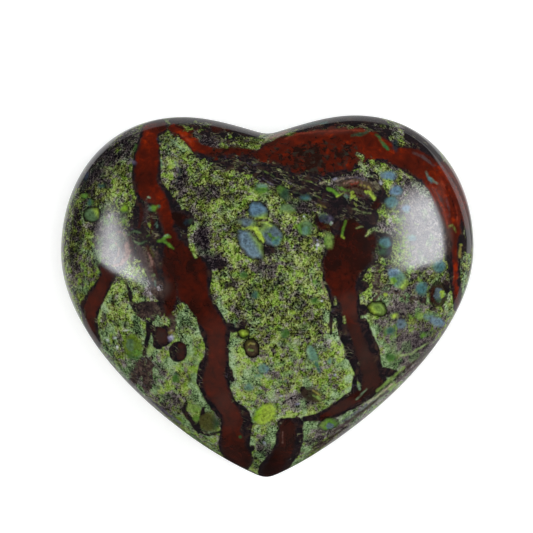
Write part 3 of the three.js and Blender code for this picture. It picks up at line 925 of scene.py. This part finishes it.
# The stone's mesh, with how each point of its surface is marked
heart_mesh = bpy.data.meshes.new("jasper_heart")
heart_mesh.from_pydata(surface.tolist(), [], [tuple(map(int, t)) for t in triangles])
heart_mesh.shade_smooth()
PIXEL_MM = PIXEL / MM
MARKS = {
    "red_edge": red_edge * PIXEL_MM,
    "border_edge": border_edge * PIXEL_MM,
    "inlay_edge": inlay_edge * PIXEL_MM,
    "inlay_ring": inlay_ring,
    "red_glow": red_glow,
    "red_broken": red_broken,
    "dust": dust,
    "frayed": frayed,
    "moss_light": moss_light,
    "moss_calm_and_highlight_wash": moss_calm_and_highlight_wash,
    "moss_dull_and_highlight_wash": moss_dull_and_highlight_wash,
    "moss_cool": moss_cool,
}
for name, amounts in MARKS.items():
    layer = heart_mesh.attributes.new(name, "FLOAT", "POINT")
    layer.data.foreach_set("value", amounts.astype(np.float32))
shade_layer = heart_mesh.attributes.new("inlay_shade", "FLOAT_COLOR", "POINT")
shade_layer.data.foreach_set("color", np.column_stack([inlay_shade, everywhere(1)]).ravel())


def new_object(name, data):
    """A mesh, a lamp or a camera, put in the scene."""
    made = bpy.data.objects.new(name, data)
    bpy.context.scene.collection.objects.link(made)
    return made


heart = new_object("jasper_heart", heart_mesh)

# The stone's material
# Polished jasper, in five layers of colour: moss, dark jasper, red jasper, dust with fibres, and
# pebbles with strokes. Noise gives the fine grain, and the marks on the mesh say where it lies.
# The moss under the soft-box highlights, the dark along the rim and a few strokes are painted light.


def start_material(name):
    """A new material, with an empty node tree that the functions below add to."""
    global nodes, links
    material = bpy.data.materials.new(name)
    material.use_nodes = True
    nodes, links = material.node_tree.nodes, material.node_tree.links
    nodes.clear()
    return material


def add(kind, feeds, **settings):
    """A new node, with its settings, and what feeds its sockets: a number, a colour or the output
    of another node for each socket's name or number."""
    node = nodes.new("ShaderNode" + kind)
    for setting, choice in settings.items():
        setattr(node, setting, choice)
    for socket, value in feeds.items():
        if isinstance(value, bpy.types.NodeSocket):
            links.new(value, node.inputs[socket])
        else:
            node.inputs[socket].default_value = value
    return node


def colour(code):
    """A colour as it looks in the photograph, for a node's socket."""
    return (*stone_colour(code), 1)


def reckon(operation, *values):
    """A sum, product or other arithmetic of values."""
    return add("Math", dict(enumerate(values)), operation=operation).outputs[0]


def total(*values):
    """The sum of values."""
    result = values[0]
    for value in values[1:]:
        result = reckon("ADD", result, value)
    return result


def times(value, factor, more=None):
    """A value times a factor, and something more added to it."""
    if more is None:
        return reckon("MULTIPLY", value, factor)
    return reckon("MULTIPLY_ADD", value, factor, more)


def centred(value, amount=1):
    """A value around 0.5, as that many times its distance from 0.5."""
    return times(reckon("SUBTRACT", value, 0.5), amount)


def between(value, low_end, high_end):
    """0 where a value is at low_end or past it, 1 at high_end or past it, smooth in between."""
    feeds = {"Value": value, "From Min": low_end, "From Max": high_end}
    return add("MapRange", feeds, interpolation_type="SMOOTHSTEP").outputs[0]


def blend(under, over, cover):
    """Two colours, with the second over the first as far as cover says."""
    return add("Mix", {"Factor": cover, "A": under, "B": over}, data_type="RGBA").outputs["Result"]


def ramp(value, *stops):
    """A colour that follows a value, through stops of (value, colour code)."""
    node = add("ValToRGB", {"Fac": value})
    elements = node.color_ramp.elements
    elements[0].position, elements[1].position = stops[0][0], stops[-1][0]
    elements[0].color, elements[1].color = colour(stops[0][1]), colour(stops[-1][1])
    for at, code in stops[1:-1]:
        elements.new(at).color = colour(code)
    return node.outputs["Color"]


def marked(name, output="Fac"):
    """What is kept in the mesh under a name."""
    return add("Attribute", {}, attribute_name=name).outputs[output]


jasper = start_material("polished_jasper")
place = add("TexCoord", {}).outputs["Object"]


def grain(size, detail=2.0, sharpness=0.5, twist=0.0, shift=0.0):
    """Natural variation in the rock, with features of about a size in millimetres."""
    feeds = {"Vector": place, "W": shift, "Scale": 1 / (size * MM)}
    feeds |= {"Detail": detail, "Roughness": sharpness, "Distortion": twist}
    return add("TexNoise", feeds, noise_dimensions="4D").outputs["Fac"]


def clouds(size, shift):
    """Grain with soft clouds and fine detail in them."""
    return grain(size, detail=4, sharpness=0.65, twist=0.6, shift=shift)


# Moss: light winding strands over dark gaps, in four kinds
def strands(size, shift):
    """Winding lines, 0 along their middle and more than 0 in the gaps between them."""
    return reckon("ABSOLUTE", centred(grain(size, detail=2, twist=1.4, shift=shift), 2.4))


fine_moss = centred(grain(0.19, detail=1.5, sharpness=0.6, twist=0.9))
threads = reckon("MAXIMUM", between(strands(0.42, 9), 0.2, 0.02), between(strands(0.27, 11), 0.24, 0.04))
gaps = reckon("MINIMUM", strands(0.33, 2), strands(0.5, 5))
thickets = between(grain(0.95, detail=3, sharpness=0.6, twist=0.7, shift=3), 0.36, 0.64)
openness = total(thickets, times(marked("moss_light"), -0.35))
gap_depth = times(openness, -3.3, -2.3)
pits = between(grain(0.3, detail=2, twist=0.8, shift=47), 0.55, 0.65)
moss_contrast = times(marked("moss_calm_and_highlight_wash"), -0.4, 1)
# Lighter along the threads, and darker in the gaps and the pits
moss_detail = total(
    0.28, fine_moss, times(gaps, gap_depth), times(openness, -0.2), times(threads, 0.46), times(pits, -0.38)
)
calm_clouds = centred(grain(0.8, detail=3, sharpness=0.6, twist=0.8, shift=37), 0.5)
moss_tone = total(
    0.3,
    times(moss_detail, moss_contrast),
    times(marked("moss_light"), 0.06),
    times(marked("moss_calm_and_highlight_wash"), 0.1),
    times(calm_clouds, marked("moss_calm_and_highlight_wash")),
)
MOSS_TONES = (0, 0.18, 0.34, 0.5, 0.66, 0.82, 1)


def moss_shades(*codes):
    """The colours of one kind of moss, from its gaps to its lightest strands."""
    return ramp(moss_tone, *zip(MOSS_TONES, codes))


green_moss = moss_shades("0D0A0B", "221C14", "3E3D1C", "5E672A", "808E40", "9CAC54", "C4CE90")
dull_moss = moss_shades("0E0A10", "241B24", "40363A", "5C5254", "7C726C", "989088", "BCB2BE")
cool_moss = moss_shades("0F1411", "202B25", "3C4E36", "5C7A48", "7A9862", "96B27C", "B8CEA6")
vivid_moss = ramp(
    moss_tone, (0.05, "141C0C"), (0.34, "3A5416"), (0.6, "688A26"), (0.82, "88AA3A"), (1, "B0CA68")
)
vivid_spots = total(between(grain(0.6, detail=2, shift=25), 0.42, 0.62), times(openness, -0.8))
dull_spots = total(
    between(grain(0.5, detail=2, shift=21), 0.4, 0.65), times(openness, 0.5), marked("moss_dull_and_highlight_wash")
)
cool_spots = total(between(grain(1.1, detail=1, shift=23), 0.4, 0.65), marked("moss_cool"))
moss = blend(green_moss, vivid_moss, between(vivid_spots, 0, 0.7))
moss = blend(moss, dull_moss, between(dull_spots, 0.4, 1.5))
moss = blend(moss, cool_moss, between(cool_spots, 0.5, 1.6))

# Dark jasper, with the painted dark reflection along the rim
# Each span says where a layer starts and where it is full, in millimetres outside its edge.
BORDER_SPAN = (0.08, -0.08)
fray = times(marked("frayed"), 2.2, 0.4)
ragged = centred(grain(0.6, detail=4, sharpness=0.6, twist=0.5), fray)
border = between(total(marked("border_edge"), ragged), *BORDER_SPAN)
border_colour = ramp(
    clouds(0.8, 11),
    (0.3, "141719"), (0.42, "1D1A1D"), (0.54, "2A2022"), (0.62, "3A2A24"), (0.72, "4C3A2E"),
)

# Red jasper
RED_SPAN = (0.2, -0.24)
SPECK_COVER = 0.9
DUST = "54423C"
DUST_OVER_RED = 0.6
red_ragged = centred(grain(0.7, detail=4, shift=13), total(fray, 0.3))
red = between(total(marked("red_edge"), red_ragged), *RED_SPAN)
red_tone = total(marked("red_glow"), centred(clouds(1.1, 15), 1.6))
red_colour = ramp(red_tone, (0, "22120F"), (0.35, "3A160F"), (0.7, "581C0F"), (0.88, "72210D"), (1, "962E0E"))
speck_size = clouds(0.7, 17)
speck_start = times(marked("red_broken"), -0.2, 0.68)
specks = between(speck_size, speck_start, total(speck_start, 0.13))
speck_colour = ramp(grain(0.5, shift=19), (0.38, "20130F"), (0.52, "261B17"), (0.66, "2D342D"))
red_colour = blend(red_colour, speck_colour, times(specks, SPECK_COVER))
red_colour = blend(red_colour, colour(DUST), times(marked("dust"), DUST_OVER_RED))

# Dust and fibres of moss in the dark jasper
FIBRE_TURN = math.radians(-27)
FIBRE_STRETCH = 3.3
FIBRE_SPACING = 0.45 * MM
FIBRE_TWIST = 0.8
FIBRE_COVER = 0.7
DUST_COVER = 0.7
stretched = {"Vector": place, "Rotation": (0, 0, FIBRE_TURN), "Scale": (FIBRE_STRETCH, 1, 1)}
lengthways = add("Mapping", stretched, vector_type="TEXTURE").outputs[0]
fibre_feeds = {"Vector": lengthways, "Scale": 1 / FIBRE_SPACING, "Detail": 2, "Distortion": FIBRE_TWIST}
fibre_lines = add("TexNoise", fibre_feeds).outputs["Fac"]
fibres = between(reckon("ABSOLUTE", centred(fibre_lines)), 0.04, 0.01)
fibre_places = total(grain(1.1, detail=2, shift=43), times(marked("frayed"), 0.1))
fibre_clumps = between(fibre_places, 0.53, 0.68)
fibre_colour = ramp(grain(0.6, detail=2, shift=45), (0.38, "5E5468"), (0.5, "77804E"), (0.62, "9A9478"))
fibre_cover = times(times(fibres, fibre_clumps), FIBRE_COVER)
dusty = times(centred(grain(0.5, detail=3, shift=35), 3), marked("dust"), marked("dust"))
dust_grain = grain(0.4, detail=3, sharpness=0.6, twist=1, shift=39)
dust_colour = ramp(dust_grain, (0.36, "33272A"), (0.5, DUST), (0.68, "8A7464"))
border_colour = blend(border_colour, dust_colour, times(between(dusty, 0.5, 2.2), DUST_COVER))
border_colour = blend(border_colour, fibre_colour, fibre_cover)
vein = blend(border_colour, red_colour, red)
skin = blend(moss, vein, reckon("MAXIMUM", border, red))

# Pebbles and strokes, with dark outlines round some of them
OUTLINE_SPAN = (0.26, 0.12)
INLAY_SPAN = (0.15, -0.32)
INLAY_COVER = 0.9
RIND_SPAN = (-0.45, -0.2)
RIND_LIGHT = 0.35
inlay_ragged = centred(grain(0.5, detail=3, shift=27), 0.6)
inlay_distance = total(marked("inlay_edge"), inlay_ragged)
ring_cover = times(between(inlay_distance, *OUTLINE_SPAN), marked("inlay_ring"))
skin = blend(skin, colour("17130F"), ring_cover)
inlay_clouds = times(grain(0.35, detail=3, sharpness=0.6, twist=1, shift=29), 2.8, -0.5)
inlay_rind = times(between(inlay_distance, *RIND_SPAN), RIND_LIGHT)
inlay_feeds = {0: marked("inlay_shade", "Color"), "Scale": total(inlay_clouds, inlay_rind)}
inlay_colour = add("VectorMath", inlay_feeds, operation="SCALE").outputs[0]
inlay_cover = times(between(inlay_distance, *INLAY_SPAN), INLAY_COVER)
skin = blend(skin, inlay_colour, inlay_cover)

# The polish, over a relief that is hardly there: the red is a little harder than the moss
QUARTZ_IOR = 1.54
RELIEF_HEIGHT = 0.01 * MM
RELIEF_STRENGTH = 0.3
LEAST_ROUGHNESS = 0.07
ROUGHNESS_SPREAD = 0.05
relief = total(grain(1.6, detail=3, shift=33), times(red, 0.3))
bump_feeds = {"Strength": RELIEF_STRENGTH, "Distance": RELIEF_HEIGHT, "Height": relief}
bumps = add("Bump", bump_feeds).outputs["Normal"]
roughness = times(grain(1.5, detail=2, shift=31), ROUGHNESS_SPREAD, LEAST_ROUGHNESS)
finish = {"Base Color": skin, "Roughness": roughness, "IOR": QUARTZ_IOR, "Normal": bumps}
polish = add("BsdfPrincipled", finish)
add("OutputMaterial", {"Surface": polish.outputs["BSDF"]})
heart_mesh.materials.append(jasper)
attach(heart, "root")
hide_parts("heart")

# The studio
# A pale table that glows a little, as a brightly lit one does, and a soft box on each side. A
# wide lamp overhead lights the stone without a reflection of its own.
TABLE_HALF = 4.0
TABLE_WHITE = 0.8
TABLE_GLOW = 0.5


def sheet(name, corners):
    """A flat piece of the studio, made of four-sided panes with the given corners in metres."""
    mesh = bpy.data.meshes.new(name)
    mesh.from_pydata(corners, [], np.arange(len(corners)).reshape(-1, 4).tolist())
    piece = new_object(name, mesh)
    return piece


def square(half):
    """The corners of a level square."""
    return [(x * half, y * half, 0) for x, y in [(-1, -1), (1, -1), (1, 1), (-1, 1)]]


def matt(name, shade, glow):
    """A matt grey that may glow."""
    material = start_material(name)
    look = {"Base Color": (shade, shade, shade, 1), "Roughness": 0.9, "Specular IOR Level": 0}
    look |= {"Emission Color": (1, 1, 1, 1), "Emission Strength": glow}
    add("OutputMaterial", {"Surface": add("BsdfPrincipled", look).outputs["BSDF"]})
    return material


table = sheet("table", square(TABLE_HALF))
table.data.materials.append(matt("table_white", TABLE_WHITE, TABLE_GLOW))

# Cards on the table, which only the stone's reflections show: painted reflections. A polished rim would
# otherwise mirror the table in a broad white band. A grey card lies round the stone, and its glow paints the
# reflection of the table shaded by the stone. Black card lies outside it, a painted dark reflection, with
# white table between the two where the upper right of the rim mirrors a pale stripe.
CARD_HEIGHT = 0.0004
CARD_FAR = 4.0
CARD_CORNERS = 90
CARD_SHADE = 0.02
PAINTED_SHADE_GLOW = 0.45

# Margins round the stone: degrees from rightwards, and metres outside its rim
GREY_START = [
    (0, 0.008), (20, 0.008), (40, 0.014), (52, 0.005), (75, -0.002), (95, 0), (115, 0.004), (128, 0.008),
    (136, 0.019), (150, 0.019), (160, 0.013), (185, 0.013), (200, 0), (285, 0), (300, 0.003), (340, 0.003),
]
BOTH_MEET = [
    (60, 0.022), (90, 0.013), (120, 0.032), (136, 0.0195), (150, 0.0195), (160, 0.04), (185, 0.034),
    (200, 0.017), (225, 0.011), (240, 0.001), (285, 0.001), (300, 0.012), (320, 0.019), (340, 0.019),
]
GREY_END = [(0, 0.034), (8, 0.011), (15, 0.014), (22, 0.021), (26, 0.028), (34, 0.036), *BOTH_MEET]
BLACK_START = [
    (0, 0.034), (8, 0.03), (15, 0.044), (22, 0.06), (26, 0.07), (34, 0.075), (42, 0.036), *BOTH_MEET
]
card_turns = np.arange(CARD_CORNERS + 1) * 2 * math.pi / CARD_CORNERS
rim_turns = np.arctan2(outline[:, 1], outline[:, 0])
rim_reach = np.interp(card_turns, rim_turns, np.hypot(*outline.T), period=2 * math.pi)


def margin_line(margin):
    """Points all the way round the stone, as far outside its rim as the margin says."""
    degrees, widths = zip(*margin)
    reach = rim_reach + np.interp(np.degrees(card_turns), degrees, widths, period=360)
    return [(*point, CARD_HEIGHT) for point in zip(reach * np.cos(card_turns), reach * np.sin(card_turns))]


def card(name, inner, outer, glow):
    """A black card between two margins, which only reflections show. A glow turns it grey, a painted
    reflection of shaded table.
    """
    near, far = margin_line(inner), margin_line(outer)
    corners = [corner for k in range(CARD_CORNERS) for corner in (near[k], near[k + 1], far[k + 1], far[k])]
    piece = sheet(name, corners)
    piece.data.materials.append(matt(name, CARD_SHADE, glow))
    piece.visible_camera = piece.visible_diffuse = False
    piece.visible_transmission = piece.visible_shadow = False


# Painted reflections: the glowing grey card for the table in the stone's shade, the black card for dark.
card("painted_table_shade_card", GREY_START, GREY_END, glow=PAINTED_SHADE_GLOW)
card("painted_dark_card", BLACK_START, [(0, CARD_FAR)], glow=0)

# The soft boxes
BOX_DISTANCE = 0.4
CLOTH_HALF = 0.16
CLOTH_WHITE = (0.93, 0.96, 1, 1)


def soft_box(name, side, height, radiance, corners):
    """A cloth that faces the stone, from side degrees round from +X and height degrees up, and
    glows between the corners, anticlockwise in metres from its middle. The third number of a
    corner is how soft the side that starts there is."""
    level, turn = math.radians(height), math.radians(side)
    away = Vector((math.cos(level) * math.cos(turn), math.cos(level) * math.sin(turn), math.sin(level)))
    box = sheet(name, square(CLOTH_HALF))
    box.location = away * BOX_DISTANCE
    box.rotation_euler = (-away).to_track_quat("Z", "Y").to_euler()
    box.data.materials.append(start_material(name + "_cloth"))
    spot = add("SeparateXYZ", {0: add("TexCoord", {}).outputs["Object"]})
    light = radiance
    for (x0, y0, soft), (x1, y1, _) in zip(corners, corners[1:] + corners[:1]):
        length = math.hypot(x1 - x0, y1 - y0)
        in_x, in_y = (y0 - y1) / length, (x1 - x0) / length
        inside = times(spot.outputs["X"], in_x, -(in_x * x0 + in_y * y0))
        inside = times(spot.outputs["Y"], in_y, inside)
        light = times(between(inside, -soft, soft), light)
    glow = add("Emission", {"Color": CLOTH_WHITE, "Strength": light})
    add("OutputMaterial", {"Surface": glow.outputs[0]})


RIGHT_GLOW = [
    (-0.12, -0.008, 0.022), (0.01, -0.052, 0.028), (0.072, -0.045, 0.014), (0.07, 0.06, 0.022),
    (-0.11, 0.07, 0.05),
]
LEFT_GLOW = [(-0.03, -0.046, 0.042), (0.11, -0.016, 0.06), (0.11, -0.006, 0.02), (-0.085, 0.037, 0.006)]
soft_box("right_box", side=9, height=30, radiance=10, corners=RIGHT_GLOW)
soft_box("left_box", side=174, height=35, radiance=10.2, corners=LEFT_GLOW)

# The lamp overhead, in watts and metres
FILL_POWER = 2.2
FILL_WIDTH = 0.3
FILL_HEIGHT = 0.6
fill = bpy.data.lights.new("overhead_fill", "AREA")
fill.shape = "RECTANGLE"
fill.size = fill.size_y = FILL_WIDTH
fill.energy = FILL_POWER
fill_lamp = new_object("overhead_fill", fill)
fill_lamp.location.z = FILL_HEIGHT
fill_lamp.visible_glossy = False

# The room's pale wall, which only the camera sees
WALL_GLOW = 0.75
world = bpy.data.worlds.new("studio_room")
bpy.context.scene.world = world
world.use_nodes = True
nodes, links = world.node_tree.nodes, world.node_tree.links
nodes.clear()
add("OutputWorld", {"Surface": add("Background", {"Strength": WALL_GLOW}).outputs["Background"]})
world.cycles_visibility.diffuse = False
world.cycles_visibility.glossy = False

# The camera looks straight down on the stone, with the tip towards the bottom of the picture.
LENS = 150
SENSOR = 36
CLEAR_TO = 20
camera_data = bpy.data.cameras.new("camera")
camera_data.lens = LENS
camera_data.sensor_width = SENSOR
camera_data.clip_end = CLEAR_TO
camera = new_object("camera", camera_data)
camera.location = (*EYE, GIRDLE_HEIGHT + EYE_DISTANCE)
camera.rotation_euler = (0, 0, -PICTURE_TURN)
bpy.context.scene.camera = camera
bpy.context.scene.view_settings.view_transform = "Standard"
